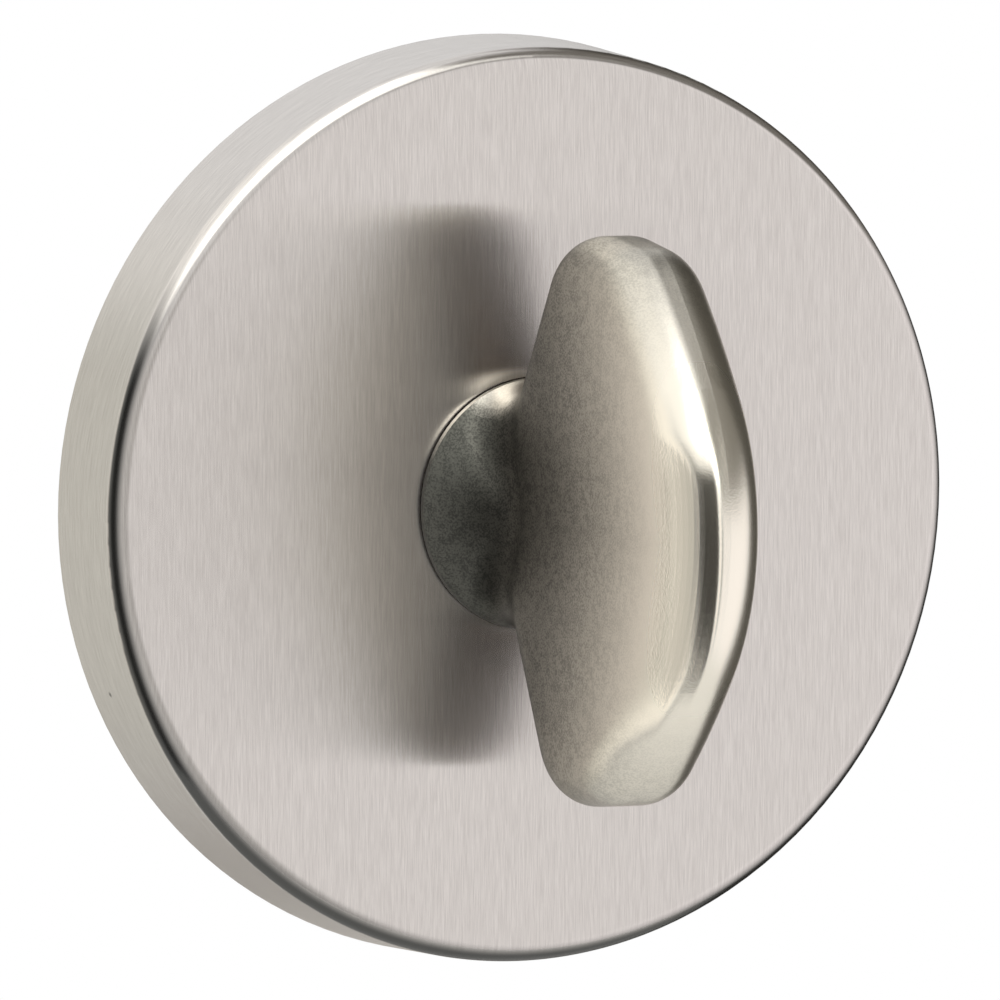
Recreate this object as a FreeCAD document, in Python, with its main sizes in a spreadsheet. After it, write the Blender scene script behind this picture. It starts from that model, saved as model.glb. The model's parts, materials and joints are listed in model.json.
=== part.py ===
import FreeCAD, Part
import math
import os
import re
import Sketcher

# Bathroom thumb turn on a round rose, millimetres.
# The origin is on the turning axis at the door's surface.
# The front faces -Y, the door lies towards +Y and +Z is up.
# Depth in the sketches is counted along Y, so the door's surface is 0 and the front is negative.

Vector = FreeCAD.Vector

SIZES = [
    # rose cover, a pressed cap of stainless steel
    ("rose_diameter", 50.0, "outside diameter of the rose at the door"),
    ("rose_height", 7.0, "from the door's surface to the rose's face"),
    ("rim_draft", 0.25, "how much the rim's radius is smaller at the face"),
    ("face_round", 1.15, "outer radius between the rim and the face"),
    ("cover_wall", 0.9, "thickness of the pressed sheet"),
    ("door_gap", 0.15, "between the cover's rim and the door"),
    ("cover_hole_fit", 0.25, "between the cover's hole and the bush's flange"),
    ("cover_drop", 0.2, "how far the cover hangs below the turning axis, its play on the clips"),
    # thumb turn, a casting
    ("neck_diameter", 13.7, "neck at its foot, on the rose's face"),
    ("neck_lift", 0.2, "gap between the rose's face and the neck"),
    ("neck_rim", 0.35, "straight rim of the neck's foot"),
    ("neck_flare", 9.0, "radius of the neck's hollow flare"),
    ("flare_end", 12.5, "end of the flare inside the grip, above the door"),
    ("flare_tip", 4.8, "diameter of the flare's end inside the grip"),
    ("root_height", 7.5, "grip's lower edge inside the neck, above the door"),
    ("root_length", 6.0, "across the grip's lower edge inside the neck"),
    ("wing_height", 14.5, "back corner of the wing ends, above the door"),
    ("wing_length", 31.2, "across the wings at their back corner"),
    ("end_height", 21.2, "front corner of the wing ends, above the door"),
    ("end_length", 29.5, "across the wings at their front corner"),
    ("shoulder_bow", 50.0, "radius of the shoulders between the front corners and the crown"),
    ("crown_ratio", 0.91, "radius of the crown over half the length at the front corners"),
    ("turn_height", 29.95, "crown's top above the door"),
    ("grip_width", 6.2, "thickness of the grip between its flat flanks"),
    ("neck_round", 2.5, "hollow rounding between the neck and the grip"),
    ("wing_round", 4.2, "rounding of the wings' back corners"),
    ("end_round", 5.1, "rounding of the wings' front corners"),
    ("grip_round", 2.5, "rounding along both flanks"),
    ("lean_angle", 1.4, "the turn's lean from upright, in degrees"),
    # journal of the thumb turn and what is on it
    ("journal_diameter", 9.0, "turned journal behind the neck"),
    ("journal_end", 0.9, "how far the journal stands behind the door's surface"),
    ("journal_chamfer", 0.3, "chamfer at the journal's end"),
    ("running_fit", 0.05, "radial clearance of the journal in its bush"),
    ("key_width", 7.4, "across the journal's two flats"),
    ("key_fit", 0.05, "between the flats and the stop disc"),
    ("spindle_width", 5.0, "square spindle across its flats"),
    ("spindle_fit", 0.05, "between the spindle and its hole, each side"),
    ("spindle_depth", 9.0, "bottom of the square hole, above the door"),
    ("spindle_gap", 0.5, "between the spindle's end and the hole's bottom"),
    ("spindle_reach", 45.0, "how far the spindle stands behind the door's surface"),
    ("spindle_chamfer", 0.6, "chamfer at the spindle's ends"),
    ("pin_diameter", 1.5, "spring pin through the journal and the spindle"),
    ("pin_bore", 0.7, "hole along the spring pin"),
    ("pin_slot", 0.35, "slot along the spring pin"),
    ("pin_height", 4.6, "pin's axis above the door"),
    ("pin_inset", 0.2, "how far the pin's ends stay inside the journal"),
    ("ring_thickness", 1.0, "retaining ring"),
    ("ring_groove_diameter", 8.2, "bottom of the retaining ring's groove"),
    ("ring_play", 0.05, "play of the retaining ring in its groove, each side"),
    ("ring_diameter", 12.4, "outside of the retaining ring"),
    ("ring_lift", 0.1, "retaining ring's front behind the stop disc"),
    ("ring_gap_angle", 50.0, "opening of the retaining ring, in degrees"),
    ("ring_ear", 1.1, "radius of the retaining ring's ears"),
    ("ring_ear_inset", 1.45, "from the retaining ring's inner edge to its ears' axes"),
    ("ring_ear_angle", 10.0, "from the ring's opening to the ears' axes, in degrees"),
    ("ring_eye", 0.45, "radius of the holes in the ears"),
    ("disc_thickness", 0.9, "stop disc"),
    ("disc_diameter", 15.0, "stop disc"),
    ("tab_reach", 10.1, "outer radius of the stop disc's tab"),
    ("tab_angle", 34.0, "width of the tab, in degrees"),
    ("turn_range", 90.0, "turn between its two stops, in degrees"),
    ("stop_play", 1.0, "gap between the tab and each stop, in degrees"),
    ("wave_thickness", 0.25, "wave washer's strip"),
    ("wave_rise", 0.5, "height of the waves"),
    ("wave_fit", 0.7, "between the wave washer and the journal"),
    ("wave_width", 1.9, "strip of the wave washer, seen from the front"),
    ("slip_thickness", 0.3, "slip washer"),
    ("slip_width", 2.9, "slip washer, from its hole to its edge"),
    ("washer_fit", 0.2, "between the washers and the journal"),
    ("stack_gap", 0.03, "between the pieces stacked on the journal"),
    # bush
    ("bush_wall", 1.1, "acetal bush in the inner rose"),
    ("bush_fit", 0.02, "between the bush and the hub"),
    ("flange_diameter", 12.4, "flange of the bush, in the cover's hole"),
    ("flange_gap", 0.05, "between the bush's flange and the neck"),
    # inner rose, a die casting
    ("inner_clearance", 0.45, "between the inner rose and the cover, at the side"),
    ("plate_thickness", 2.6, "inner rose's plate"),
    ("rim_width", 1.8, "inner rose's rim wall"),
    ("rim_height", 5.0, "inner rose's rim wall, above the door"),
    ("hub_diameter", 16.0, "hub around the bush"),
    ("shoulder_diameter", 24.4, "raised disc over the stop recess"),
    ("shoulder_height", 4.4, "raised disc, above the door"),
    ("recess_diameter", 16.4, "recess behind the hub"),
    ("recess_depth", 2.7, "recess behind the hub"),
    ("recess_clearance", 0.4, "between the tab and its slot's outer wall"),
    ("rib_width", 1.2, "ribs between the hub and the rim"),
    ("rib_height", 4.2, "ribs, above the door"),
    ("fixing_inset", 6.0, "from the rose's edge to the axis of each through bolt"),
    ("boss_diameter", 8.6, "bosses for the bolt sleeves"),
    ("boss_height", 5.2, "bosses, above the door"),
    # bolt sleeves
    ("sleeve_diameter", 6.4, "threaded sleeve's body"),
    ("sleeve_head", 8.0, "threaded sleeve's head"),
    ("sleeve_head_height", 0.8, "threaded sleeve's head"),
    ("sleeve_fit", 0.02, "between a sleeve and its boss"),
    ("sleeve_bore", 3.3, "bore of the sleeve's thread"),
    ("sleeve_reach", 4.5, "how far the sleeves stand behind the door's surface"),
    ("sleeve_chamfer", 0.4, "chamfer at the sleeve's end"),
    # wood screws
    ("screw_inset", 9.4, "from the rose's edge to the wood screws' axes"),
    ("screw_angle", 45.0, "their place round the rose, in degrees"),
    ("screw_length", 16.0, "wood screw, head included"),
    ("screw_diameter", 3.5, "wood screw's shank"),
    ("screw_head", 6.8, "wood screw's head"),
    ("screw_land", 0.3, "straight edge of the screw's head"),
    ("screw_seat", 0.05, "between the screw's head and its countersink"),
    ("screw_tip", 3.5, "length of the screw's point"),
    ("screw_fit", 0.35, "between the screw's shank and its hole"),
    ("drive_width", 0.9, "arms of the screw's cross recess"),
    ("drive_span", 3.8, "across the screw's cross recess"),
    ("drive_depth", 1.3, "screw's cross recess"),
    # cover clips
    ("clip_thickness", 0.3, "spring steel strip of the cover clips"),
    ("clip_width", 5.0, "cover clips along the rim"),
    ("clip_leg", 2.2, "legs of the clip, down from the rim's top"),
    ("clip_seat", 0.02, "between a clip and the rim wall"),
    ("clip_press", 0.02, "between a clip's bump and the cover"),
    ("clip_sag", 0.2, "how far a clip's flat inner leg stays off the round wall"),
    ("clip_notch", 0.3, "depth of the notches for the clips"),
    ("clip_shoulder", 0.4, "straight part of the outer leg over its bump"),
    ("clip_bend", 0.35, "outer radius of the clip's bends"),
    ("clip_notch_play", 0.3, "notch beyond the clip, each side"),
]

CLIP_COUNT = 4
CLIP_START = 45.0
RIB_COUNT = 8
WAVE_COUNT = 3
WAVE_POINTS = 24
TAB_PLACE = 135.0
NEAR = 0.01

NAMES = {alias for alias, _, _ in SIZES}

doc = FreeCAD.newDocument("ThumbTurn")
sheet = doc.addObject("Spreadsheet::Sheet", "Sizes")


def fillSheet():
    for row, (alias, number, note) in enumerate(SIZES, 1):
        sheet.set(f"A{row}", note)
        sheet.set(f"B{row}", str(number))
        sheet.setAlias(f"B{row}", alias)
    doc.recompute()


def bound(text):
    """The expression with each size's name pointed at the sheet."""
    return re.sub(r"[a-z_]+", lambda m: f"Sizes.{m[0]}" if m[0] in NAMES else m[0], text)


def size(text):
    """The number that an expression of sizes gives."""
    return float(sheet.evalExpression(bound(text)))


# Places that more than one piece shares, each an expression of the sizes.
COVER_RADIUS = "(rose_diameter / 2)"
BOLT_RADIUS = "(rose_diameter / 2 - fixing_inset)"
SCREW_RADIUS = "(rose_diameter / 2 - screw_inset)"
COVER_UNDERSIDE = "(rose_height - cover_wall)"
COVER_INSIDE_TOP = "(rose_diameter / 2 - rim_draft - cover_wall)"
INNER_RADIUS = "(rose_diameter / 2 - rim_draft - cover_wall - inner_clearance)"
NECK_FOOT = "(rose_height + neck_lift)"
NECK_TOP = "(rose_height + neck_lift + neck_rim)"
# The crown's arc and the shoulder's arc meet in line, at an angle from the turn's axis.
CROWN_RADIUS = "(crown_ratio * end_length / 2)"
CROWN_CENTRE = f"(turn_height - {CROWN_RADIUS} - end_height)"
CROWN_DISTANCE = f"sqrt({CROWN_CENTRE} ^ 2 + (end_length / 2) ^ 2)"
BOW_SPARE = f"(shoulder_bow - {CROWN_RADIUS})"
CROWN_ANGLE = (f"(acos(({CROWN_DISTANCE} ^ 2 + {BOW_SPARE} ^ 2 - shoulder_bow ^ 2)"
               f" / (2 * {BOW_SPARE} * {CROWN_DISTANCE})) - atan2(end_length / 2; {CROWN_CENTRE}))")
BUSH_RADIUS = "(journal_diameter / 2 + running_fit + bush_wall)"
RECESS_RADIUS = "(recess_diameter / 2)"
SLIP_FRONT = "(recess_depth - stack_gap)"
WAVE_FRONT = f"({SLIP_FRONT} - slip_thickness - stack_gap)"
DISC_FRONT = f"({WAVE_FRONT} - wave_rise - wave_thickness - stack_gap)"
DISC_BACK = f"({DISC_FRONT} - disc_thickness)"
RING_FRONT = f"({DISC_BACK} - ring_lift)"
RING_BACK = f"({RING_FRONT} - ring_thickness)"


def add(kind, name, label=None):
    made = doc.addObject(kind, name)
    made.Label = label or name
    return made


def bind(thing, **expressions):
    for name, text in expressions.items():
        thing.setExpression(name.replace("__", "."), bound(text))


def origin(body, role):
    return next(o for o in body.Origin.OriginFeatures if o.Role == role)


def sketchOn(body, name, plane, offset=None):
    sketch = body.newObject("Sketcher::SketchObject", name)
    sketch.AttachmentSupport = (origin(body, plane), "")
    sketch.MapMode = "FlatFace"
    if offset:
        bind(sketch, AttachmentOffset__Base__z=offset)
    return sketch


def measured(sketch, kind, reference, text):
    """A dimension whose value follows the sheet."""
    index = sketch.addConstraint(Sketcher.Constraint(kind, *reference, size(text)))
    sketch.setExpression(f"Constraints[{index}]", bound(text))


def place(sketch, element, point, x, y):
    measured(sketch, "DistanceX", (-1, 1, element, point), x)
    measured(sketch, "DistanceY", (-1, 1, element, point), y)


def corners(sketch, points, arcs=None):
    """A closed outline through the points; arcs gives a signed radius for the side after a point."""
    arcs = arcs or {}
    spots = [Vector(size(x), size(y), 0) for x, y in points]
    first = sketch.GeometryCount
    count = len(spots)
    for i, start in enumerate(spots):
        stop = spots[(i + 1) % count]
        if i in arcs:
            sketch.addGeometry(arcBetween(start, stop, size(arcs[i])))
        else:
            sketch.addGeometry(Part.LineSegment(start, stop))
    for i in range(count):
        after = (i + 1) % count
        here, there = endOf(sketch, first + i, 2), endOf(sketch, first + after, 1)
        sketch.addConstraint(Sketcher.Constraint("Coincident", first + i, here, first + after, there))
    for i, (x, y) in enumerate(points):
        place(sketch, first + i, endOf(sketch, first + i, 1), x, y)
    for i, radius in arcs.items():
        measured(sketch, "Radius", (first + i,), f"abs({radius})")


def arcBetween(start, stop, radius):
    """The short arc from start to stop; it bulges to the right of the way for a radius above zero."""
    way = stop - start
    half = way.Length / 2
    right = Vector(way.y, -way.x, 0).normalize()
    rise = abs(radius) - math.sqrt(radius ** 2 - half ** 2)
    middle = (start + stop) / 2 + right * math.copysign(rise, radius)
    return Part.Arc(start, middle, stop)


def endOf(sketch, element, point):
    """Which end of an element is its start or stop on the outline: arcs always run to the left."""
    shape = sketch.Geometry[element]
    if shape.TypeId == "Part::GeomArcOfCircle" and shape.Circle.Axis.z < 0:
        return 3 - point
    return point


def circle(sketch, x, y, radius):
    index = sketch.addGeometry(Part.Circle(Vector(size(x), size(y), 0), Vector(0, 0, 1), size(radius)))
    measured(sketch, "Radius", (index,), radius)
    place(sketch, index, 3, x, y)


def feature(body, kind, name, sketch=None, **settings):
    made = body.newObject(kind, name)
    if sketch:
        made.Profile = sketch
        sketch.Visibility = False
    for key, setting in settings.items():
        setattr(made, key, setting)
    return made


def volumeOf(body):
    doc.recompute()
    return body.Shape.Volume if not body.Shape.isNull() else 0.0


def pad(body, name, sketch, length):
    made = feature(body, "PartDesign::Pad", name, sketch)
    bind(made, Length=length)
    return made


def pocket(body, name, sketch, length=None, reverse=False, through=False, midplane=False):
    """A cut into the body, which has to take material away."""
    before = volumeOf(body)
    made = feature(body, "PartDesign::Pocket", name, sketch, Reversed=reverse, Midplane=midplane)
    if through:
        made.Type = "ThroughAll"
    else:
        bind(made, Length=length)
    if volumeOf(body) >= before:
        raise RuntimeError(f"{name} cuts nothing")
    return made


def spun(body, name, sketch):
    return feature(body, "PartDesign::Revolution", name, sketch,
                   ReferenceAxis=(sketch, ["H_Axis"]), Angle=360.0)


def grooved(body, name, sketch):
    before = volumeOf(body)
    made = feature(body, "PartDesign::Groove", name, sketch,
                   ReferenceAxis=(sketch, ["H_Axis"]), Angle=360.0)
    if volumeOf(body) >= before:
        raise RuntimeError(f"{name} cuts nothing")
    return made


def edgesWhere(body, test):
    doc.recompute()
    edges = enumerate(body.Shape.Edges, 1)
    return [f"Edge{i}" for i, edge in edges if not edge.Degenerated and test(edge)]


def rounded(body, name, edges, radius, kind="PartDesign::Fillet"):
    if not edges:
        raise RuntimeError(f"{name} finds no edge")
    made = feature(body, kind, name, Base=(body.Tip, edges))
    bind(made, **{"Size" if kind.endswith("Chamfer") else "Radius": radius})
    return made


def newBody(name):
    return add("PartDesign::Body", name)


def turned(thing, angle):
    """Stands a piece at an angle round the turning axis, clockwise from the front."""
    thing.Placement = FreeCAD.Placement(Vector(), FreeCAD.Rotation(Vector(0, 1, 0), size(angle)))
    bind(thing, Placement__Rotation__Angle=angle)
    return thing


def roseCover():
    """Pressed cap: a drafted rim, a rounded edge, a flat face with the turn's hole."""
    body = newBody("rose_cover")
    section = sketchOn(body, "cover_section", "YZ_Plane")
    inner_round = "(face_round - cover_wall)"
    rim_top = f"({COVER_RADIUS} - rim_draft)"
    hole = "(flange_diameter / 2 + cover_hole_fit)"
    corners(section, [
        ("-door_gap", COVER_RADIUS),
        ("face_round - rose_height", rim_top),
        ("-rose_height", f"{rim_top} - face_round"),
        ("-rose_height", hole),
        (f"-{COVER_UNDERSIDE}", hole),
        (f"-{COVER_UNDERSIDE}", f"{COVER_INSIDE_TOP} - {inner_round}"),
        (f"{inner_round} - {COVER_UNDERSIDE}", COVER_INSIDE_TOP),
        ("-door_gap", f"{COVER_RADIUS} - cover_wall"),
    ], arcs={1: "face_round", 5: "-(face_round - cover_wall)"})
    spun(body, "cover_cap", section)
    bind(body, Placement__Base__z="-cover_drop")
    return body


def thumbTurn():
    """Casting: a rounded half-moon grip that a flared neck carries, on a journal with a square hole."""
    body = newBody("thumb_turn")
    addGrip(body)
    addNeck(body)
    cutJournal(body)
    return turned(body, "lean_angle")


def addGrip(body):
    """A thick half-moon plate with rounded corners and rounded flanks."""
    outline = sketchOn(body, "grip_outline", "YZ_Plane")
    half = [
        ("-root_height", "root_length / 2"),
        ("-wing_height", "wing_length / 2"),
        ("-end_height", "end_length / 2"),
        (f"{CROWN_RADIUS} * (1 - cos{CROWN_ANGLE}) - turn_height", f"{CROWN_RADIUS} * sin{CROWN_ANGLE}"),
    ]
    corners(outline, half + [(x, f"-{y}") for x, y in reversed(half)],
            arcs={2: "shoulder_bow", 3: CROWN_RADIUS, 4: "shoulder_bow"})
    plate = pad(body, "grip_plate", outline, "grip_width")
    plate.Midplane = True
    rounded(body, "wing_rounding", cornersAt(body, "wing_height", "wing_length / 2"), "wing_round")
    rounded(body, "end_rounding", cornersAt(body, "end_height", "end_length / 2"), "end_round")
    flanks = edgesWhere(body, lambda edge: edge.BoundBox.XLength < NEAR)
    rounded(body, "grip_rounding", flanks, "grip_round")


def cornersAt(body, height, half):
    """The grip's edges that run from flank to flank at a height and a distance from the axis."""
    def test(edge):
        box = edge.BoundBox
        near = abs(box.YMin + size(height)) < NEAR and abs(abs(box.ZMin) - size(half)) < NEAR
        return near and box.XLength > size("grip_width") - NEAR
    return edgesWhere(body, test)


def addNeck(body):
    """The journal and the flared neck in one, blended into the grip with a hollow rounding."""
    journal = "(journal_diameter / 2)"
    profile = sketchOn(body, "neck_profile", "YZ_Plane")
    corners(profile, [
        ("journal_end", "0"),
        ("journal_end", f"{journal} - journal_chamfer"),
        ("journal_end - journal_chamfer", journal),
        (f"-{NECK_FOOT}", journal),
        (f"-{NECK_FOOT}", "neck_diameter / 2"),
        (f"-{NECK_TOP}", "neck_diameter / 2"),
        ("-flare_end", "flare_tip / 2"),
        ("-flare_end", "0"),
    ], arcs={5: "-neck_flare"})
    spun(body, "neck", profile)
    rounded(body, "neck_rounding", edgesWhere(body, onFlare(profile)), "neck_round")


def onFlare(profile):
    """True for the crease where the grip comes out of the neck's flare."""
    doc.recompute()
    flare = next(side for side in profile.Geometry if side.TypeId == "Part::GeomArcOfCircle")
    depth, distance = flare.Center.x, flare.Center.y

    def away(edge, share):
        spot = edge.valueAt(edge.FirstParameter + share * (edge.LastParameter - edge.FirstParameter))
        return math.hypot(math.hypot(spot.x, spot.z) - distance, spot.y - depth)

    def test(edge):
        below = edge.BoundBox.YMax > -NEAR - size(NECK_TOP)
        return not below and all(abs(away(edge, share) - flare.Radius) < NEAR for share in (0.2, 0.5, 0.8))
    return test


def cutJournal(body):
    """The ring groove, the stop disc's flats, the square hole and the pin's hole."""
    groove = sketchOn(body, "ring_groove_section", "YZ_Plane")
    rectangle(groove, f"-({RING_FRONT} + ring_play)", f"ring_play - {RING_BACK}",
              "ring_groove_diameter / 2", "journal_diameter")
    grooved(body, "ring_groove", groove)
    flats = sketchOn(body, "key_flats_profile", "XZ_Plane", "-journal_end")
    for side in ("", "-"):
        rectangle(flats, f"{side}key_width / 2", f"{side}journal_diameter",
                  "-journal_diameter", "journal_diameter")
    pocket(body, "key_flats", flats, f"journal_end + {DISC_FRONT}", reverse=True)
    square = sketchOn(body, "spindle_hole_profile", "XZ_Plane", "-journal_end")
    half = "(spindle_width / 2 + spindle_fit)"
    rectangle(square, f"-{half}", half, f"-{half}", half)
    pocket(body, "spindle_hole", square, "journal_end + spindle_depth", reverse=True)
    cutPinHole(body)


def cutPinHole(body):
    sketch = sketchOn(body, "pin_hole_profile", "YZ_Plane")
    circle(sketch, "-pin_height", "0", "pin_diameter / 2")
    pocket(body, "pin_hole", sketch, through=True, midplane=True)


def rectangle(sketch, left, right, low, high):
    corners(sketch, [(left, low), (right, low), (right, high), (left, high)])


def ringBody(name, front, back, inner, outer):
    """A plain ring round the turning axis, between two heights above the door."""
    body = newBody(name)
    sketch = sketchOn(body, f"{name}_section", "YZ_Plane")
    rectangle(sketch, f"-{front}", f"-{back}", inner, outer)
    spun(body, f"{name}_form", sketch)
    return body


def turnBush():
    """Flanged acetal bush: its flange fills the cover's hole and carries the neck."""
    body = newBody("turn_bush")
    section = sketchOn(body, "bush_section", "YZ_Plane")
    bore = "journal_diameter / 2 + running_fit"
    corners(section, [
        (f"flange_gap - {NECK_FOOT}", bore),
        (f"flange_gap - {NECK_FOOT}", "flange_diameter / 2"),
        (f"-{COVER_UNDERSIDE}", "flange_diameter / 2"),
        (f"-{COVER_UNDERSIDE}", BUSH_RADIUS),
        ("-recess_depth - stack_gap", BUSH_RADIUS),
        ("-recess_depth - stack_gap", bore),
    ])
    spun(body, "bush_form", section)
    return body


def spindle():
    """Square bar in the turn's hole, through the door to the other side."""
    body = newBody("spindle")
    sketch = sketchOn(body, "spindle_profile", "XZ_Plane", "-spindle_reach")
    rectangle(sketch, "-spindle_width / 2", "spindle_width / 2", "-spindle_width / 2", "spindle_width / 2")
    pad(body, "spindle_bar", sketch, "spindle_reach + spindle_depth - spindle_gap")
    ends = (size("spindle_reach"), size("spindle_gap - spindle_depth"))

    def atEnd(edge):
        box = edge.BoundBox
        return box.YLength < NEAR and min(abs(box.YMin - end) for end in ends) < NEAR

    rounded(body, "spindle_ends", edgesWhere(body, atEnd), "spindle_chamfer", "PartDesign::Chamfer")
    cutPinHole(body)
    return turned(body, "lean_angle")


def spindlePin():
    """Slotted spring pin across the journal, kept in by the bush."""
    body = newBody("spindle_pin")
    sketch = sketchOn(body, "pin_profile", "YZ_Plane")
    circle(sketch, "-pin_height", "0", "pin_diameter / 2")
    circle(sketch, "-pin_height", "0", "pin_bore / 2")
    tube = pad(body, "pin_tube", sketch, "journal_diameter - 2 * pin_inset")
    tube.Midplane = True
    slot = sketchOn(body, "pin_slot_profile", "YZ_Plane")
    rectangle(slot, "-pin_height - pin_slot / 2", "-pin_height + pin_slot / 2", "0", "pin_diameter")
    pocket(body, "pin_slot_cut", slot, through=True, midplane=True)
    return turned(body, "lean_angle")


def stopDisc():
    """Disc keyed to the journal's flats, with a tab that meets the recess's ends."""
    body = newBody("stop_disc")
    disc = sketchOn(body, "disc_profile", "XZ_Plane", DISC_BACK)
    circle(disc, "0", "0", "disc_diameter / 2")
    pad(body, "disc", disc, "disc_thickness")
    tab = sketchOn(body, "tab_profile", "XZ_Plane", DISC_BACK)
    sector(tab, "tab_reach", f"({TAB_PLACE} - tab_angle / 2)", f"({TAB_PLACE} + tab_angle / 2)")
    pad(body, "tab", tab, "disc_thickness")
    hole = sketchOn(body, "key_hole_profile", "XZ_Plane", DISC_FRONT)
    flat = "(key_width / 2 + key_fit)"
    radius = "(journal_diameter / 2 + key_fit)"
    reach = f"sqrt({radius} ^ 2 - {flat} ^ 2)"
    corners(hole, [
        (flat, f"-{reach}"),
        (flat, reach),
        (f"-{flat}", reach),
        (f"-{flat}", f"-{reach}"),
    ], arcs={1: radius, 3: radius})
    pocket(body, "key_hole", hole, through=True, midplane=True)
    return turned(body, "lean_angle")


def sector(sketch, radius, start, stop):
    """A slice of a circle from one angle to another, counted from the right, anticlockwise."""
    corners(sketch, [
        ("0", "0"),
        (f"{radius} * cos({start} * 1 deg)", f"{radius} * sin({start} * 1 deg)"),
        (f"{radius} * cos({stop} * 1 deg)", f"{radius} * sin({stop} * 1 deg)"),
    ], arcs={1: radius})


def retainingRing():
    """Open ring in the journal's groove, with an eyed ear at each end."""
    body = newBody("retaining_ring")
    inner = "(ring_groove_diameter / 2 + stack_gap)"
    annulus = sketchOn(body, "ring_profile", "XZ_Plane", RING_BACK)
    circle(annulus, "0", "0", "ring_diameter / 2")
    circle(annulus, "0", "0", inner)
    pad(body, "ring", annulus, "ring_thickness")
    opening = sketchOn(body, "ring_opening_profile", "XZ_Plane", RING_FRONT)
    sector(opening, "ring_diameter", "(270 - ring_gap_angle / 2)", "(270 + ring_gap_angle / 2)")
    pocket(body, "ring_opening", opening, through=True, midplane=True)
    ears = sketchOn(body, "ring_ears_profile", "XZ_Plane", RING_BACK)
    eyes = sketchOn(body, "ring_eyes_profile", "XZ_Plane", RING_FRONT)
    place_radius = f"({inner} + ring_ear_inset)"
    for side in ("-", "+"):
        angle = f"((270 {side} (ring_gap_angle / 2 + ring_ear_angle)) * 1 deg)"
        spot = (f"{place_radius} * cos({angle})", f"{place_radius} * sin({angle})")
        circle(ears, *spot, "ring_ear")
        circle(eyes, *spot, "ring_eye")
    pad(body, "ring_ears", ears, "ring_thickness")
    pocket(body, "ring_eyes", eyes, through=True, midplane=True)
    return turned(body, "lean_angle")


def waveWasher():
    """A flat strip of spring steel bent into waves round the journal."""
    inner = size("journal_diameter / 2 + wave_fit")
    outer = inner + size("wave_width")
    middle = size(f"{WAVE_FRONT} - wave_thickness") - size("wave_rise") / 2
    thickness = size("wave_thickness")
    step = 2 * math.pi / WAVE_POINTS

    def waving(radius):
        points = []
        for i in range(WAVE_POINTS):
            lift = size("wave_rise") / 2 * math.cos(WAVE_COUNT * i * step)
            points.append(Vector(radius * math.cos(i * step), -middle - lift, radius * math.sin(i * step)))
        curve = Part.BSplineCurve()
        curve.interpolate(Points=points, PeriodicFlag=True)
        return curve.toShape()

    washer = add("Part::Feature", "wave_washer")
    washer.Shape = Part.makeRuledSurface(waving(inner), waving(outer)).extrude(Vector(0, -thickness, 0))
    return turned(washer, "lean_angle")


def innerRose():
    """Die casting: a plate with a rim, a hub with its shoulder, ribs and bosses, and a stop recess."""
    body = newBody("inner_rose")
    wall = f"({INNER_RADIUS} - rim_width)"
    section = sketchOn(body, "inner_section", "YZ_Plane")
    hub_bore = f"({BUSH_RADIUS} + bush_fit)"
    corners(section, [
        ("0", RECESS_RADIUS),
        ("0", INNER_RADIUS),
        ("-rim_height", INNER_RADIUS),
        ("-rim_height", wall),
        ("-plate_thickness", wall),
        ("-plate_thickness", "shoulder_diameter / 2"),
        ("-shoulder_height", "shoulder_diameter / 2"),
        ("-shoulder_height", "hub_diameter / 2"),
        (f"-{COVER_UNDERSIDE}", "hub_diameter / 2"),
        (f"-{COVER_UNDERSIDE}", hub_bore),
        ("-recess_depth", hub_bore),
        ("-recess_depth", RECESS_RADIUS),
    ])
    spun(body, "inner_form", section)
    addRibs(body, wall)
    addBosses(body)
    cutStopSlot(body)
    cutScrewHoles(body)
    cutClipNotches(body)
    return body


def pattern(body, name, original, count):
    made = body.newObject("PartDesign::PolarPattern", name)
    made.Originals = [original]
    made.Axis = (origin(body, "Y_Axis"), [""])
    made.Angle = 360.0
    made.Occurrences = count
    body.Tip = made
    return made


def addRibs(body, wall):
    sketch = sketchOn(body, "rib_profile", "XZ_Plane")
    turn = f"({180 / RIB_COUNT} * 1 deg)"
    start, stop = "(shoulder_diameter / 2 - rib_width)", f"({wall} + rib_width / 2)"
    half = "(rib_width / 2)"
    spots = []
    for radius, side in ((start, "-"), (stop, "-"), (stop, "+"), (start, "+")):
        across = "+" if side == "-" else "-"
        spots.append((f"{radius} * cos({turn}) {across} {half} * sin({turn})",
                      f"{radius} * sin({turn}) {side} {half} * cos({turn})"))
    corners(sketch, spots)
    rib = pad(body, "rib", sketch, "rib_height")
    doc.recompute()
    pattern(body, "ribs", rib, RIB_COUNT)


def addBosses(body):
    """Bosses for the threaded sleeves, bored through."""
    bosses = sketchOn(body, "boss_profiles", "XZ_Plane")
    bores = sketchOn(body, "boss_bore_profiles", "XZ_Plane")
    for side in ("", "-"):
        circle(bosses, f"{side}{BOLT_RADIUS}", "0", "boss_diameter / 2")
        circle(bores, f"{side}{BOLT_RADIUS}", "0", "sleeve_diameter / 2 + sleeve_fit")
    pad(body, "bosses", bosses, "boss_height")
    pocket(body, "boss_bores", bores, through=True, midplane=True)


def cutStopSlot(body):
    """The recess runs further out where the tab swings, and its ends are the stops."""
    sketch = sketchOn(body, "stop_slot_profile", "XZ_Plane")
    high = f"({TAB_PLACE} + tab_angle / 2 + stop_play)"
    low = f"({TAB_PLACE} - turn_range - tab_angle / 2 - stop_play)"
    sector(sketch, "(tab_reach + recess_clearance)", low, high)
    pocket(body, "stop_slot", sketch, "recess_depth", reverse=True)


def screwSpots():
    """The two wood screws face each other across the rose."""
    for side in ("", "-"):
        yield (f"{side}{SCREW_RADIUS} * cos(screw_angle * 1 deg)",
               f"{side}{SCREW_RADIUS} * sin(screw_angle * 1 deg)")


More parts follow.
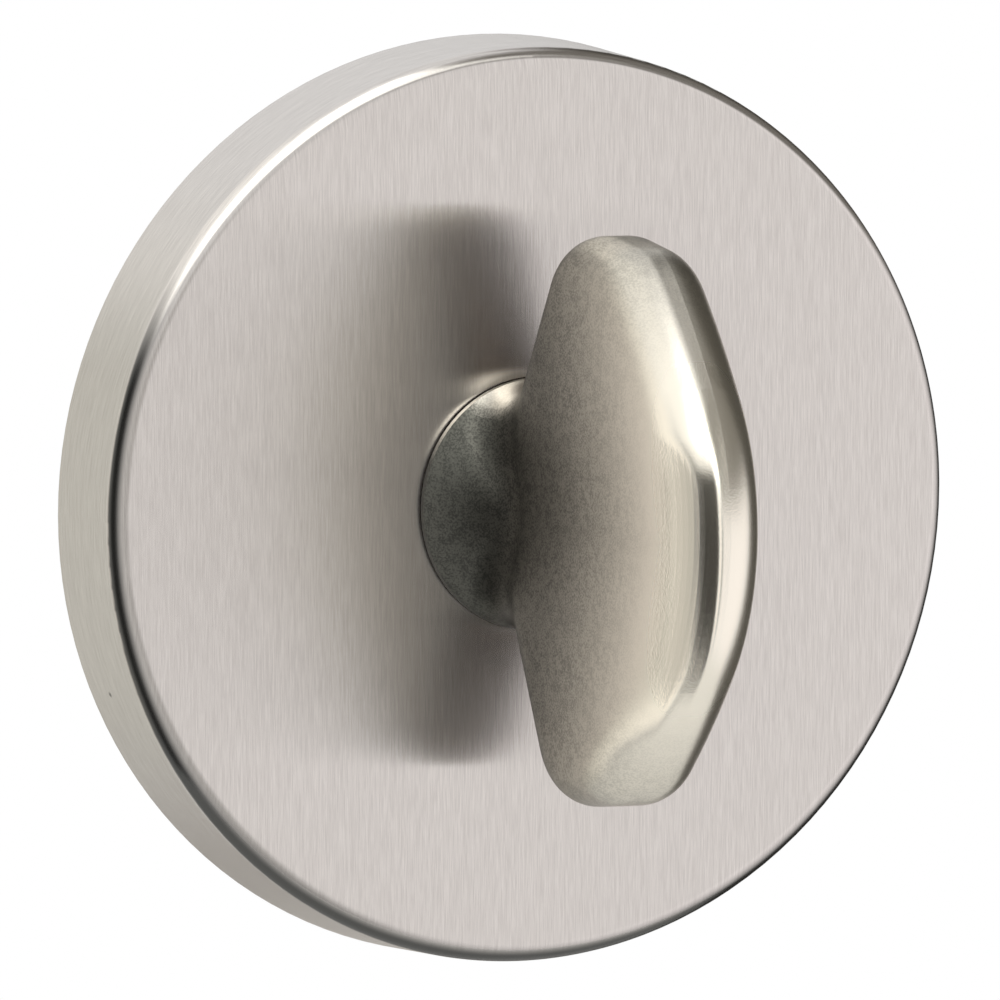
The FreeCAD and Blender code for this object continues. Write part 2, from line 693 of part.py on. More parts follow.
def cutScrewHoles(body):
    """Countersunk holes for the wood screws."""
    sketch = sketchOn(body, "screw_hole_centres", "XZ_Plane", "plate_thickness")
    for spot in screwSpots():
        circle(sketch, *spot, "screw_diameter / 2 + screw_fit")
    before = volumeOf(body)
    hole = feature(body, "PartDesign::Hole", "screw_holes", sketch)
    hole.DepthType = "ThroughAll"
    hole.HoleCutType = "Countersink"
    hole.HoleCutCustomValues = True
    hole.HoleCutCountersinkAngle = 90.0
    bind(hole, Diameter="screw_diameter + 2 * screw_fit",
         HoleCutDiameter="screw_head + 2 * (screw_land + screw_seat)")
    if volumeOf(body) >= before:
        raise RuntimeError("the screw holes cut nothing")


def cutClipNotches(body):
    """Flat notches in the rim's outside, one for each cover clip."""
    sketch = sketchOn(body, "notch_profile", "XZ_Plane", "rim_height - clip_leg - clip_notch_play")
    turn = f"({CLIP_START} * 1 deg)"
    half = "(clip_width / 2 + clip_notch_play)"
    floor, out = f"({INNER_RADIUS} - clip_notch)", f"({INNER_RADIUS} + rim_width)"
    spots = []
    for radius, side in ((floor, "-"), (out, "-"), (out, "+"), (floor, "+")):
        across = "+" if side == "-" else "-"
        spots.append((f"{radius} * cos({turn}) {across} {half} * sin({turn})",
                      f"{radius} * sin({turn}) {side} {half} * cos({turn})"))
    corners(sketch, spots)
    notch = pocket(body, "notch", sketch, "clip_leg + rim_width", reverse=True)
    pattern(body, "notches", notch, CLIP_COUNT)


def coverClip(number):
    """Bent strip over the rim wall; its bump reaches to the inside of the hanging cover."""
    turn = CLIP_START + (number - 1) * 360 / CLIP_COUNT
    body = newBody(f"cover_clip_{number}")
    sketch = sketchOn(body, f"clip_profile_{number}", "XY_Plane")
    inner = f"({INNER_RADIUS} - rim_width - clip_sag)"
    outer = f"({INNER_RADIUS} - clip_notch + clip_seat)"
    top = "(rim_height + clip_seat)"
    end = "(rim_height - clip_leg)"
    bump_height = "(rim_height - (clip_leg + clip_shoulder) / 2)"
    slope = "(rim_draft / (rose_height - face_round - door_gap))"
    hang = f"(cover_drop * sin({turn} * 1 deg))"
    cover_inside = f"({COVER_RADIUS} - cover_wall - {slope} * ({bump_height} - door_gap) - {hang})"
    bump = f"(sqrt({cover_inside} ^ 2 - (clip_width / 2) ^ 2) - clip_press)"
    corners(sketch, [
        (f"{inner} - clip_thickness", f"-{end}"),
        (f"{inner} - clip_thickness", f"-{top} - clip_thickness"),
        (f"{outer} + clip_thickness", f"-{top} - clip_thickness"),
        (f"{outer} + clip_thickness", "clip_shoulder - rim_height"),
        (bump, f"-{bump_height}"),
        (f"{outer} + clip_thickness", f"-{end}"),
        (outer, f"-{end}"),
        (f"{bump} - clip_thickness", f"-{bump_height}"),
        (outer, "clip_shoulder - rim_height"),
        (outer, f"-{top}"),
        (inner, f"-{top}"),
        (inner, f"-{end}"),
    ])
    strip = pad(body, f"clip_strip_{number}", sketch, "clip_width")
    strip.Midplane = True
    bends = (size(f"{inner} - clip_thickness"), size(f"{outer} + clip_thickness"))

    def atBend(edge):
        box = edge.BoundBox
        level = abs(box.YMin + size(f"{top} + clip_thickness")) < NEAR and box.YLength < NEAR
        return level and box.XLength < NEAR and min(abs(box.XMin - bend) for bend in bends) < NEAR

    rounded(body, f"clip_bends_{number}", edgesWhere(body, atBend), "clip_bend")
    return turned(body, f"({-turn})")


def boltSleeve(name, side):
    """Flanged steel sleeve with a thread, for a bolt from the door's other side."""
    body = newBody(name)
    section = sketchOn(body, f"{name}_section", "YZ_Plane")
    corners(section, [
        ("-boss_height - sleeve_head_height", "sleeve_bore / 2"),
        ("-boss_height - sleeve_head_height", "sleeve_head / 2"),
        ("-boss_height", "sleeve_head / 2"),
        ("-boss_height", "sleeve_diameter / 2"),
        ("sleeve_reach - sleeve_chamfer", "sleeve_diameter / 2"),
        ("sleeve_reach", "sleeve_diameter / 2 - sleeve_chamfer"),
        ("sleeve_reach", "sleeve_bore / 2"),
    ])
    spun(body, f"{name}_form", section)
    bind(body, Placement__Base__x=f"{side}{BOLT_RADIUS}")
    return body


def woodScrew(name, spot):
    """Countersunk screw with a cross recess."""
    body = newBody(name)
    section = sketchOn(body, f"{name}_section", "YZ_Plane")
    head, shank = "(screw_head / 2)", "(screw_diameter / 2)"
    corners(section, [
        ("-plate_thickness", "0"),
        ("-plate_thickness", head),
        ("screw_land - plate_thickness", head),
        (f"screw_land + {head} - {shank} - plate_thickness", shank),
        ("screw_length - screw_tip - plate_thickness", shank),
        ("screw_length - plate_thickness", "0"),
    ])
    spun(body, f"{name}_form", section)
    cross = sketchOn(body, f"{name}_drive", "XZ_Plane", "plate_thickness")
    wide, narrow = "drive_span / 2", "drive_width / 2"
    corners(cross, [
        (wide, f"-{narrow}"), (wide, narrow), (narrow, narrow), (narrow, wide),
        (f"-{narrow}", wide), (f"-{narrow}", narrow), (f"-{wide}", narrow), (f"-{wide}", f"-{narrow}"),
        (f"-{narrow}", f"-{narrow}"), (f"-{narrow}", f"-{wide}"),
        (narrow, f"-{wide}"), (narrow, f"-{narrow}"),
    ])
    pocket(body, f"{name}_recess", cross, "drive_depth")
    bind(body, Placement__Base__x=spot[0], Placement__Base__z=spot[1])
    return body


def build():
    pieces = [
        roseCover(),
        innerRose(),
        turnBush(),
        thumbTurn(),
        spindle(),
        spindlePin(),
        ringBody("slip_washer", SLIP_FRONT, f"({SLIP_FRONT} - slip_thickness)",
                 "journal_diameter / 2 + washer_fit", "journal_diameter / 2 + washer_fit + slip_width"),
        waveWasher(),
        stopDisc(),
        retainingRing(),
        boltSleeve("bolt_sleeve_left", "-"),
        boltSleeve("bolt_sleeve_right", ""),
    ]
    for name, spot in zip(("wood_screw_upper", "wood_screw_lower"), screwSpots()):
        pieces.append(woodScrew(name, spot))
    for number in range(1, CLIP_COUNT + 1):
        pieces.append(coverClip(number))
    return pieces


def check(pieces):
    """Every object of the document is sound, and every piece is one valid solid."""
    doc.recompute()
    for thing in doc.Objects:
        if {"Invalid", "Error"} & set(thing.State):
            raise RuntimeError(f"{thing.Name} is {thing.State}")
    for piece in pieces:
        shape = piece.Shape
        if shape.isNull() or not shape.isValid() or len(shape.Solids) != 1:
            raise RuntimeError(f"{piece.Label} isn't one valid solid")


def write(pieces):
    os.makedirs("parts", exist_ok=True)
    for piece in pieces:
        piece.Shape.exportStep(f"parts/{piece.Label}.step")


fillSheet()
PIECES = build()
check(PIECES)
write(PIECES)
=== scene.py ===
import bpy
import bmesh
import json
import math
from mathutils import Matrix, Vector

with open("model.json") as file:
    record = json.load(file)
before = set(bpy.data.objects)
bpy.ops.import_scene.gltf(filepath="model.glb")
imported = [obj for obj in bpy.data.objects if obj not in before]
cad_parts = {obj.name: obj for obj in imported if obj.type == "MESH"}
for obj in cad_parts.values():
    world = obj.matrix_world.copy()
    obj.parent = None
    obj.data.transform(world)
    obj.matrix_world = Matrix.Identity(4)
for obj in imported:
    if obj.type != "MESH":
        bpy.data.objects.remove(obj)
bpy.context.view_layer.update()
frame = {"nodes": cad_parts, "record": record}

scene = bpy.context.scene
scene.view_settings.view_transform = "Standard"
print("frame loaded")


# helpers for node trees

def newTree(name):
    material = bpy.data.materials.new(name)
    material.use_nodes = True
    material.node_tree.nodes.clear()
    return material, material.node_tree


def newGroup(name, inputs, outputs):
    tree = bpy.data.node_groups.new(name, "ShaderNodeTree")
    for label, kind in inputs.items():
        tree.interface.new_socket(label, in_out="INPUT", socket_type=f"NodeSocket{kind}")
    for label, kind in outputs.items():
        tree.interface.new_socket(label, in_out="OUTPUT", socket_type=f"NodeSocket{kind}")
    start = tree.nodes.new("NodeGroupInput")
    stop = tree.nodes.new("NodeGroupOutput")
    return tree, start.outputs, stop.inputs


def useGroup(tree, group, **inputs):
    node = tree.nodes.new("ShaderNodeGroup")
    node.node_tree = group
    for label, value in inputs.items():
        feed(tree, node.inputs[label], value)
    return node.outputs


def feed(tree, socket, value):
    if isinstance(value, bpy.types.NodeSocket):
        tree.links.new(value, socket)
    elif isinstance(value, (int, float)):
        socket.default_value = value
    elif len(socket.default_value) == 4:
        socket.default_value = (*value, 1.0)
    else:
        socket.default_value = value


def calc(tree, operation, *values, clamp=False):
    node = tree.nodes.new("ShaderNodeMath")
    node.operation = operation
    node.use_clamp = clamp
    for socket, value in zip(node.inputs, values):
        feed(tree, socket, value)
    return node.outputs[0]


def mapRange(tree, value, low, high, start=0.0, stop=1.0, kind="SMOOTHSTEP"):
    node = tree.nodes.new("ShaderNodeMapRange")
    node.interpolation_type = kind
    for label, given in (("Value", value), ("From Min", low), ("From Max", high),
                         ("To Min", start), ("To Max", stop)):
        feed(tree, node.inputs[label], given)
    return node.outputs["Result"]


def mixColour(tree, factor, first, second):
    node = tree.nodes.new("ShaderNodeMix")
    node.data_type = "RGBA"
    sockets = (node.inputs["Factor"], node.inputs[6], node.inputs[7])
    for socket, value in zip(sockets, (factor, first, second)):
        feed(tree, socket, value)
    return node.outputs[2]


def mixValue(tree, factor, first, second):
    node = tree.nodes.new("ShaderNodeMix")
    sockets = (node.inputs["Factor"], node.inputs[2], node.inputs[3])
    for socket, value in zip(sockets, (factor, first, second)):
        feed(tree, socket, value)
    return node.outputs[0]


def separated(tree, vector):
    node = tree.nodes.new("ShaderNodeSeparateXYZ")
    feed(tree, node.inputs[0], vector)
    return node.outputs


def combined(tree, x, y, z):
    node = tree.nodes.new("ShaderNodeCombineXYZ")
    for socket, value in zip(node.inputs, (x, y, z)):
        feed(tree, socket, value)
    return node.outputs[0]


def noise(tree, vector, scale, detail=2.0, roughness=0.5):
    node = tree.nodes.new("ShaderNodeTexNoise")
    for label, value in (("Vector", vector), ("Scale", scale), ("Detail", detail),
                         ("Roughness", roughness)):
        feed(tree, node.inputs[label], value)
    return node.outputs["Fac"]


def bump(tree, height, strength, distance, normal=None):
    node = tree.nodes.new("ShaderNodeBump")
    for label, value in (("Height", height), ("Strength", strength), ("Distance", distance)):
        feed(tree, node.inputs[label], value)
    if normal:
        feed(tree, node.inputs["Normal"], normal)
    return node.outputs[0]


def objectPoint(tree):
    return tree.nodes.new("ShaderNodeTexCoord").outputs["Object"]


def objectNormal(tree):
    return tree.nodes.new("ShaderNodeTexCoord").outputs["Normal"]


def toWorld(tree, normal):
    node = tree.nodes.new("ShaderNodeVectorTransform")
    node.vector_type = "NORMAL"
    node.convert_from = "OBJECT"
    node.convert_to = "WORLD"
    feed(tree, node.inputs[0], normal)
    return node.outputs[0]


def vectorCalc(tree, operation, first, second):
    node = tree.nodes.new("ShaderNodeVectorMath")
    node.operation = operation
    feed(tree, node.inputs[0], first)
    feed(tree, node.inputs[1], second)
    single = operation in ("DISTANCE", "DOT_PRODUCT")
    return node.outputs["Value" if single else "Vector"]


def shaped(tree, turn, lift):
    # the mesh's normal, turned to the left and lifted
    x, y, z = separated(tree, objectNormal(tree))
    left = calc(tree, "SUBTRACT", x, turn)
    return toWorld(tree, combined(tree, left, y, calc(tree, "ADD", z, lift)))


def mixVector(tree, factor, first, second):
    node = tree.nodes.new("ShaderNodeMix")
    node.data_type = "VECTOR"
    sockets = (node.inputs["Factor"], node.inputs[4], node.inputs[5])
    for socket, value in zip(sockets, (factor, first, second)):
        feed(tree, socket, value)
    return node.outputs[1]


def metal(tree, **values):
    node = tree.nodes.new("ShaderNodeBsdfPrincipled")
    for label, value in values.items():
        feed(tree, node.inputs[label.replace("_", " ")], value)
    out = tree.nodes.new("ShaderNodeOutputMaterial")
    tree.links.new(node.outputs[0], out.inputs["Surface"])


# the camera stands at the photograph's angle

cameraView = {
    "azimuth": 25.17,       # degrees to the left of the front
    "elevation": 6.30,
    "distance": 1.0,
    "pixelsPerMm": 18.477,
    "shiftRight": -0.001108,
    "shiftUp": 0.000524,
    "sensorWidth": 36.0,
    "clip": (0.01, 20.0),
}


def addCamera(look):
    azimuth, elevation = math.radians(look["azimuth"]), math.radians(look["elevation"])
    back = Vector((-math.sin(azimuth) * math.cos(elevation),
                   -math.cos(azimuth) * math.cos(elevation),
                   math.sin(elevation)))
    right = Vector((math.cos(azimuth), -math.sin(azimuth), 0.0))
    up = back.cross(right)
    data = bpy.data.cameras.new("camera")
    data.sensor_width = look["sensorWidth"]
    # a picture of 1000 px: px per mm times metres gives the lens in sensor widths
    data.lens = look["pixelsPerMm"] * look["distance"] * look["sensorWidth"]
    data.clip_start, data.clip_end = look["clip"]
    camera = bpy.data.objects.new("camera", data)
    scene.collection.objects.link(camera)
    camera.location = back * look["distance"] - right * look["shiftRight"] - up * look["shiftUp"]
    camera.rotation_euler = (-back).to_track_quat("-Z", "Y").to_euler()
    scene.camera = camera


addCamera(cameraView)
print("camera set")

# the studio is a small pale floor, and soft panels round the object

studio = {
    "floorDrop": 0.10,
    "floorRadius": 0.09,
    "floorColour": (0.85, 0.85, 0.85),
    "floorRoughness": 0.9,
    "floorSides": 64,
    "open": (0.88, 0.88, 0.88),
    # each panel: centre and half width in degrees to the left of the front, lower and upper edge
    # in degrees above the horizon, softness of the sides and of the edges, colour
    "panels": {
        "leftBox": (95.0, 64.0, 20.0, 70.0, 6.0, 8.0, (1.12, 1.11, 1.07)),
        "backBox": (150.0, 30.0, -40.0, 20.0, 10.0, 10.0, (0.67, 0.665, 0.61)),
        "backShade": (-160.0, 24.0, -60.0, 0.0, 8.0, 5.0, (0.42, 0.40, 0.37)),
        "sideFill": (118.0, 15.0, -40.0, 20.0, 4.0, 6.0, (1.15, 1.11, 1.03)),
        "leftShade": (73.5, 24.5, -55.0, 24.0, 8.0, 8.0, (0.05, 0.048, 0.043)),
        "frontFill": (28.0, 21.0, -45.0, 14.0, 6.0, 6.0, (1.04, 1.02, 0.99)),
        "frontGap": (-5.0, 11.0, -45.0, 7.0, 5.0, 6.0, (0.42, 0.41, 0.39)),
        "rightBox": (-56.0, 34.0, -50.0, 12.0, 6.0, 6.0, (1.06, 1.03, 1.03)),
        "rightShade": (-70.0, 52.0, 10.0, 62.0, 8.0, 7.0, (0.20, 0.19, 0.17)),
        "farShade": (-113.0, 29.0, -60.0, 60.0, 6.0, 10.0, (0.07, 0.065, 0.055)),
        "frontBox": (14.0, 32.0, 23.0, 80.0, 8.0, 6.0, (2.6, 2.6, 2.5)),
    },
}


def addFloor(look):
    mesh = bpy.data.meshes.new("floor")
    made = bmesh.new()
    bmesh.ops.create_circle(made, cap_ends=True, segments=look["floorSides"],
                             radius=look["floorRadius"])
    bmesh.ops.translate(made, vec=(0.0, 0.0, -look["floorDrop"]), verts=made.verts)
    made.to_mesh(mesh)
    made.free()
    floor = bpy.data.objects.new("floor", mesh)
    scene.collection.objects.link(floor)
    material, tree = newTree("paleFloor")
    metal(tree, Base_Color=look["floorColour"], Roughness=look["floorRoughness"])
    mesh.materials.append(material)


def panelGroup():
    # how far a direction lies inside a panel with soft sides, 0 to 1
    labels = ("Azimuth", "Elevation", "Centre", "Half", "Low", "High", "Side", "Edge")
    tree, given, result = newGroup("softPanel", {label: "Float" for label in labels},
                                   {"Inside": "Float"})
    off = calc(tree, "WRAP", calc(tree, "SUBTRACT", given["Azimuth"], given["Centre"]), 180.0, -180.0)
    off = calc(tree, "ABSOLUTE", off)
    half, side, edge = given["Half"], given["Side"], given["Edge"]
    across = mapRange(tree, off, calc(tree, "SUBTRACT", half, side),
                      calc(tree, "ADD", half, side), 1.0, 0.0)
    low, high = given["Low"], given["High"]
    above = mapRange(tree, given["Elevation"], calc(tree, "SUBTRACT", low, edge),
                     calc(tree, "ADD", low, edge))
    below = mapRange(tree, given["Elevation"], calc(tree, "SUBTRACT", high, edge),
                     calc(tree, "ADD", high, edge), 1.0, 0.0)
    inside = calc(tree, "MULTIPLY", calc(tree, "MULTIPLY", across, above), below)
    tree.links.new(inside, result["Inside"])
    return tree


def addWorld(look):
    world = bpy.data.worlds.new("studio")
    world.use_nodes = True
    tree = world.node_tree
    tree.nodes.clear()
    x, y, z = separated(tree, tree.nodes.new("ShaderNodeTexCoord").outputs["Generated"])
    azimuth = calc(tree, "ARCTAN2", calc(tree, "MULTIPLY", x, -1.0),
                   calc(tree, "MULTIPLY", y, -1.0))
    azimuth = calc(tree, "DEGREES", azimuth)
    elevation = calc(tree, "DEGREES", calc(tree, "ARCSINE", z))
    group = panelGroup()
    colour = look["open"]
    for centre, half, low, high, side, edge, light in look["panels"].values():
        inside = useGroup(tree, group, Azimuth=azimuth, Elevation=elevation, Centre=centre,
                          Half=half, Low=low, High=high, Side=side, Edge=edge)["Inside"]
        colour = mixColour(tree, inside, colour, light)
    path = tree.nodes.new("ShaderNodeLightPath")
    colour = mixColour(tree, path.outputs["Is Camera Ray"], colour, (1.0, 1.0, 1.0))
    background = tree.nodes.new("ShaderNodeBackground")
    tree.links.new(colour, background.inputs["Color"])
    out = tree.nodes.new("ShaderNodeOutputWorld")
    tree.links.new(background.outputs[0], out.inputs["Surface"])
    scene.world = world


addFloor(studio)
addWorld(studio)
print("studio set")

# the rose: brushed stainless steel

# sizes are in metres, pairs are where a soft change starts and ends
brushLook = {
    "layers": ((19000.0, 600.0), (8000.0, 260.0), (2500.0, 90.0)),     # lines per metre, across and along
    "detail": (2.0, 0.6),
    "mix": (0.35, 0.12),
    "range": (0.36, 0.64),
}

roseFinish = {
    "dark": (0.64, 0.605, 0.58),
    "light": (0.76, 0.725, 0.695),
    "roughness": 0.19,
    "anisotropic": 1.0,
    "radius": 0.025,
    "faceRadius": 0.02385,
    "rimDepth": 0.00585,
    "rounding": 0.00115,
    # painted shade on the rounding: its colour, and how far out, how high and how far ahead it darkens
    "paintedRoundColour": (0.10, 0.10, 0.097),
    "roundDark": (0.05, 0.66),
    "roundUpper": (0.30, 0.60),
    "roundAhead": (0.08, 0.30),
    "agreement": 0.8,       # of the exact normal and the mesh's, as a cosine
    "faceStart": -0.0066,
    "faceFull": -0.0069,
    "strength": 0.10,
    "depth": 0.00002,
    "marks": ((-0.02304, -0.0025, -0.0097), (0.0247, -0.0054, -0.0034)),
    "markRadius": 0.00022,
    "markColour": (0.06, 0.06, 0.055),
}


def brushGroup(look):
    # fine parallel lines: a shade for the colour and a height for the relief
    tree, given, result = newGroup("brushLines", {"Across": "Float", "Along": "Float"},
                                   {"Shade": "Float", "Height": "Float"})
    layers = []
    for fine, long in look["layers"]:
        spot = combined(tree, calc(tree, "MULTIPLY", given["Across"], fine), 0.0,
                        calc(tree, "MULTIPLY", given["Along"], long))
        layers.append(noise(tree, spot, 1.0, *look["detail"]))
    shade = layers[0]
    for share, layer in zip(look["mix"], layers[1:]):
        shade = mixValue(tree, share, shade, layer)
    tree.links.new(mapRange(tree, shade, *look["range"]), result["Shade"])
    tree.links.new(layers[0], result["Height"])
    return tree


def roseNormal(tree, look, x, y, z):
    # the exact normal of face, rounding and rim: the mesh bends it a little along the face's edge
    flat = combined(tree, x, 0.0, z)
    far = vectorCalc(tree, "DISTANCE", flat, (0.0, 0.0, 0.0))
    out = calc(tree, "MAXIMUM", calc(tree, "SUBTRACT", far, look["faceRadius"]), 0.0)
    out = calc(tree, "DIVIDE", out, far)
    ahead = calc(tree, "MINIMUM", calc(tree, "ADD", y, look["rimDepth"]), 0.0)
    exact = combined(tree, calc(tree, "MULTIPLY", x, out), ahead, calc(tree, "MULTIPLY", z, out))
    exact = vectorCalc(tree, "NORMALIZE", exact, (0.0, 0.0, 0.0))
    given = objectNormal(tree)
    same = calc(tree, "GREATER_THAN", vectorCalc(tree, "DOT_PRODUCT", exact, given), look["agreement"])
    return toWorld(tree, mixVector(tree, same, given, exact))


def paintedRoundShade(tree, look, point):
    # painted shade: the rounding is painted darker towards the rim, all but its upper part, which is left
    # bright where the light falls
    x, y, z = separated(tree, point)
    far = vectorCalc(tree, "DISTANCE", combined(tree, x, 0.0, z), (0.0, 0.0, 0.0))
    out = calc(tree, "DIVIDE", calc(tree, "SUBTRACT", far, look["faceRadius"]), look["rounding"])
    ahead = calc(tree, "DIVIDE", calc(tree, "ADD", y, look["rimDepth"]), -look["rounding"])
    upper = mapRange(tree, calc(tree, "DIVIDE", z, look["radius"]), *look["roundUpper"], 1.0, 0.0)
    shade = calc(tree, "MULTIPLY", mapRange(tree, out, *look["roundDark"]),
                 mapRange(tree, ahead, *look["roundAhead"]))
    return calc(tree, "MULTIPLY", shade, upper)


def brushedRose(look):
    material, tree = newTree("brushedStainless")
    point = objectPoint(tree)
    x, y, z = separated(tree, point)
    onFace = mapRange(tree, y, look["faceFull"], look["faceStart"], 1.0, 0.0)
    group = brushGroup(brushLook)
    face = useGroup(tree, group, Across=x, Along=z)
    angle = calc(tree, "MULTIPLY", calc(tree, "ARCTAN2", z, x), look["radius"])
    rim = useGroup(tree, group, Across=y, Along=angle)
    shade = mixValue(tree, onFace, rim["Shade"], face["Shade"])
    height = mixValue(tree, onFace, rim["Height"], face["Height"])
    aside = calc(tree, "MULTIPLY", calc(tree, "SUBTRACT", 1.0, onFace), calc(tree, "SIGN", x))
    tangent = combined(tree, onFace, aside, 0.0)
    colour = mixColour(tree, shade, look["dark"], look["light"])
    # painted shade on the rounding
    colour = mixColour(tree, paintedRoundShade(tree, look, point), colour, look["paintedRoundColour"])
    for spot in look["marks"]:
        away = vectorCalc(tree, "DISTANCE", point, spot)
        mark = mapRange(tree, away, 0.0, look["markRadius"], 1.0, 0.0)
        colour = mixColour(tree, mark, colour, look["markColour"])
    relief = bump(tree, height, look["strength"], look["depth"], roseNormal(tree, look, x, y, z))
    metal(tree, Metallic=1.0, Roughness=look["roughness"], Anisotropic=look["anisotropic"],
          Tangent=tangent, Base_Color=colour, Normal=relief)
    return material


# the turn: a casting in satin nickel

mottleLook = {
    "fine": (3.0, 0.65),        # detail and roughness of each noise
    "coarse": (2.0, 0.5),
    "coarseScale": 0.18,
    "coarseShare": 0.25,
    "range": (0.42, 0.60),
}


def mottleGroup(look):
    # blotches and specks of a plated casting: a shade, and a height for the relief
    tree, given, result = newGroup("castMottle", {"Point": "Vector", "Scale": "Float"},
                                   {"Shade": "Float", "Height": "Float"})
    fine = noise(tree, given["Point"], given["Scale"], *look["fine"])
    wide = calc(tree, "MULTIPLY", given["Scale"], look["coarseScale"])
    coarse = noise(tree, given["Point"], wide, *look["coarse"])
    shade = mixValue(tree, look["coarseShare"], fine, coarse)
    tree.links.new(mapRange(tree, shade, *look["range"]), result["Shade"])
    tree.links.new(fine, result["Height"])
    return tree


mottle = mottleGroup(mottleLook)

turnFinish = {
    # painted shade: neck and dark are painted-in shade colours, light is the lit colour of the grip's
    # front
    "neck": (0.10, 0.10, 0.088),
    "dark": (0.20, 0.19, 0.165),
    "light": (0.92, 0.87, 0.77),
    # painted shade on the faces turned back towards the rose
    "back": (0.07, 0.052, 0.034),
    "speckColour": (0.03, 0.03, 0.028),
    "neckEnd": (0.0080, 0.0130),
    # painted shade gives way to light along the height from the rose, and sooner towards the ends of the
    # grip
    "paintedShadeRange": (0.0155, 0.0288),
    "endReach": 0.25,
    "fall": 1.3,
    # painted highlight on the upper side of the neck
    "paintedTopLight": (0.30, 0.78),
    "paintedTopLightMost": 0.8,
    "backFacing": (0.1, 0.6),
    "neckHeight": (0.0115, 0.0145),
    "speck": 0.65,
    "roughness": (0.42, 0.27),
    "grain": 9000.0,
    "strength": 0.25,
    "depth": 0.00003,
    # the photograph's left edge of the grip is crisper than the fillet, so these turn the normal
    "edgeTurn": (1.3, 0.35),
    "edgeWidth": (-0.00035, 0.00025),
    "edgeStart": 0.0009,
    "edgeGrow": (4.0e6, 0.6e6),
    "edgeMost": 2.0,
    "edgeLift": 0.16,
    "liftWidth": 0.0006,
    "liftStart": (0.0030, 0.0044),
    "edgeEnd": (-0.0120, -0.0060),
    "upperStart": (0.0028, 0.0060),
    "gripHeight": (0.0125, 0.0145),
}


def edgeTurn(tree, look, x, z, height):
    upper = mapRange(tree, z, *look["upperStart"])
    near = calc(tree, "MULTIPLY", mixValue(tree, upper, *look["edgeTurn"]),
                mapRange(tree, x, *look["edgeWidth"], 1.0, 0.0))
    out = calc(tree, "SUBTRACT", calc(tree, "MULTIPLY", x, -1.0), look["edgeStart"])
    out = calc(tree, "MAXIMUM", out, 0.0)
    grow = mixValue(tree, upper, *look["edgeGrow"])
    far = calc(tree, "MULTIPLY", calc(tree, "MULTIPLY", out, out), grow)
    far = calc(tree, "MINIMUM", far, look["edgeMost"])
    here = calc(tree, "MULTIPLY", mapRange(tree, height, *look["gripHeight"]),
                mapRange(tree, z, *look["edgeEnd"]))
    turn = calc(tree, "MULTIPLY", calc(tree, "ADD", near, far), here)
    lift = calc(tree, "MULTIPLY", mapRange(tree, z, *look["liftStart"], 0.0, look["edgeLift"]), here)
    lift = calc(tree, "MULTIPLY", lift, mapRange(tree, x, 0.0, look["liftWidth"], 1.0, 0.0))
    return turn, lift


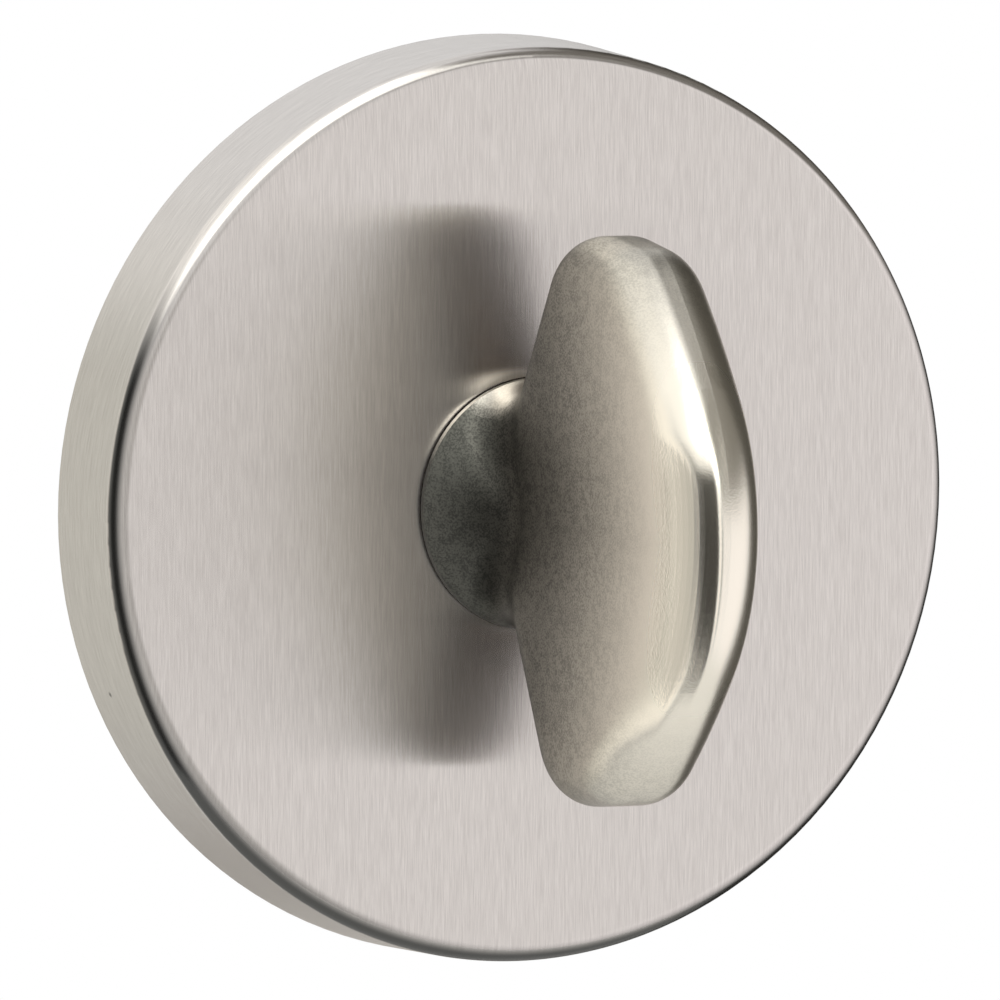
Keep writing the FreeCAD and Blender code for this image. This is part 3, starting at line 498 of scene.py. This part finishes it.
def satinNickel(look):
    material, tree = newTree("satinNickel")
    point = objectPoint(tree)
    x, y, z = separated(tree, point)
    nx, ny, nz = separated(tree, objectNormal(tree))
    height = calc(tree, "MULTIPLY", y, -1.0)
    cast = useGroup(tree, mottle, Point=point, Scale=look["grain"])
    # painted shade: darker near the neck, lighter towards the front and the ends of the grip
    aside = calc(tree, "MULTIPLY", calc(tree, "ABSOLUTE", z), look["endReach"])
    reach = calc(tree, "ADD", height, aside)
    paintedLightShare = mapRange(tree, reach, *look["paintedShadeRange"], kind="LINEAR")
    paintedLightShare = calc(tree, "POWER", paintedLightShare, look["fall"])
    # painted highlight: the upper side of the neck is painted lighter
    onNeck = mapRange(tree, height, *look["neckHeight"], 1.0, 0.0)
    paintedTopLight = calc(tree, "MULTIPLY", mapRange(tree, nz, *look["paintedTopLight"]), onNeck)
    paintedTopLight = calc(tree, "MULTIPLY", paintedTopLight, look["paintedTopLightMost"])
    paintedLightShare = calc(tree, "MAXIMUM", paintedLightShare, paintedTopLight)
    # painted shade: darkest on the neck
    dark = mixColour(tree, mapRange(tree, height, *look["neckEnd"]), look["neck"], look["dark"])
    colour = mixColour(tree, paintedLightShare, dark, look["light"])
    # painted shade: faces turned back towards the rose are painted dark brown
    colour = mixColour(tree, mapRange(tree, ny, *look["backFacing"]), colour, look["back"])
    speck = calc(tree, "MULTIPLY", cast["Shade"], calc(tree, "SUBTRACT", 1.0, paintedLightShare))
    colour = mixColour(tree, calc(tree, "MULTIPLY", speck, look["speck"]), colour, look["speckColour"])
    turned = shaped(tree, *edgeTurn(tree, look, x, z, height))
    # the painted shade is also rougher than the painted light
    metal(tree, Metallic=1.0, Roughness=mixValue(tree, paintedLightShare, *look["roughness"]),
          Base_Color=colour,
          Normal=bump(tree, cast["Height"], look["strength"], look["depth"], turned))
    return material


plainDepth = 0.00003


def plainFinish(name, look):
    material, tree = newTree(name)
    cast = useGroup(tree, mottle, Point=objectPoint(tree), Scale=look["grain"])
    metal(tree, Metallic=look["metallic"], Roughness=look["roughness"],
          Base_Color=mixColour(tree, cast["Shade"], look["dark"], look["light"]),
          Normal=bump(tree, cast["Height"], look["strength"], plainDepth))
    return material


innerFinishes = {
    "dieCastZinc": {"dark": (0.42, 0.43, 0.44), "light": (0.60, 0.61, 0.62), "roughness": 0.5,
                    "metallic": 1.0, "grain": 2200.0, "strength": 0.4},
    "acetal": {"dark": (0.76, 0.75, 0.70), "light": (0.82, 0.81, 0.77), "roughness": 0.45,
               "metallic": 0.0, "grain": 1500.0, "strength": 0.1},
    "zincPlate": {"dark": (0.58, 0.59, 0.61), "light": (0.72, 0.73, 0.75), "roughness": 0.3,
                  "metallic": 1.0, "grain": 3000.0, "strength": 0.2},
    "springSteel": {"dark": (0.44, 0.43, 0.41), "light": (0.56, 0.55, 0.53), "roughness": 0.35,
                    "metallic": 1.0, "grain": 3000.0, "strength": 0.2},
    "blackSpringSteel": {"dark": (0.05, 0.05, 0.055), "light": (0.10, 0.10, 0.105), "roughness": 0.42,
                         "metallic": 1.0, "grain": 3000.0, "strength": 0.25},
}

finishes = {
    "brushed_stainless": brushedRose(roseFinish),
    "satin_nickel": satinNickel(turnFinish),
    "die_cast_zinc": plainFinish("dieCastZinc", innerFinishes["dieCastZinc"]),
    "acetal": plainFinish("acetal", innerFinishes["acetal"]),
    "zinc_plated_steel": plainFinish("zincPlate", innerFinishes["zincPlate"]),
    "spring_steel": plainFinish("springSteel", innerFinishes["springSteel"]),
    "black_spring_steel": plainFinish("blackSpringSteel", innerFinishes["blackSpringSteel"]),
}

for piece in frame["record"]["subparts"]:
    node = frame["nodes"][piece["node"]]
    node.data.materials.clear()
    node.data.materials.append(finishes[piece["material_slot"]])
print("finishes on")
